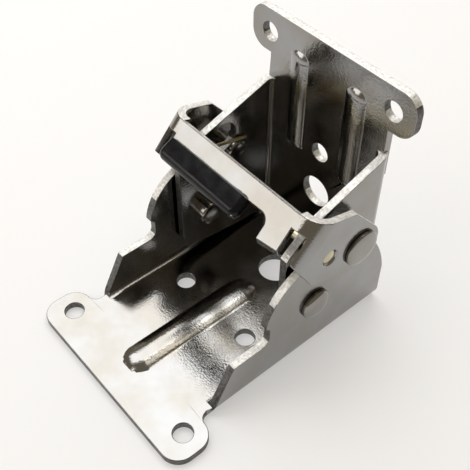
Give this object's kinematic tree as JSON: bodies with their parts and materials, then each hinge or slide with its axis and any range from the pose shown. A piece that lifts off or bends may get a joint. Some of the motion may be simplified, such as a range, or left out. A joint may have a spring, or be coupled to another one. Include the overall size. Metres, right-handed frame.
{
  "type": "folding table leg bracket",
  "caption": "Folding leg bracket of folded sheet steel: a base with cheeks, a leg channel hinged between them, and a lift lever with a cross pin and a dipped grip that locks it.",
  "frame": {"origin": "middle of the base bracket's underside, in the plane of the table top's underside", "axes": "+X from the hinge end to the screw flange, +Y across to the left cheek, +Z away from the table top, along the open leg"},
  "size_m": [0.0746, 0.06, 0.07],
  "materials": {
    "plated_sheet": "bright nickel plated sheet steel",
    "plated_rivet": "plated steel rivet, satin",
    "dipped_grip": "dipped soft plastic, semi-gloss black",
    "spring_wire": "yellow passivated spring wire"
  },
  "bodies": {
    "base": {"base_bracket": "plated_sheet", "hinge_rivet_left": "plated_rivet", "hinge_rivet_right": "plated_rivet"},
    "leg": {"leg_bracket": "plated_sheet", "lever_rivet_left": "plated_rivet", "lever_rivet_right": "plated_rivet"},
    "lever": {"lever_yoke": "plated_sheet", "grip_sleeve": "dipped_grip", "lock_pin": "plated_rivet", "lock_spring": "spring_wire"}
  },
  "joints": [
    {"name": "leg_fold", "type": "hinge", "parent": "base", "child": "leg", "pos_m": [-0.0116, 0, 0.0184], "axis": [0, 1, 0], "range_deg": [0, 90]},
    {"name": "lever_lift", "type": "hinge", "parent": "leg", "child": "lever", "pos_m": [-0.02271, 0, 0.03319], "axis": [0, -1, 0], "range_deg": [0, 16], "deforming": ["lock_spring"]}
  ]
}
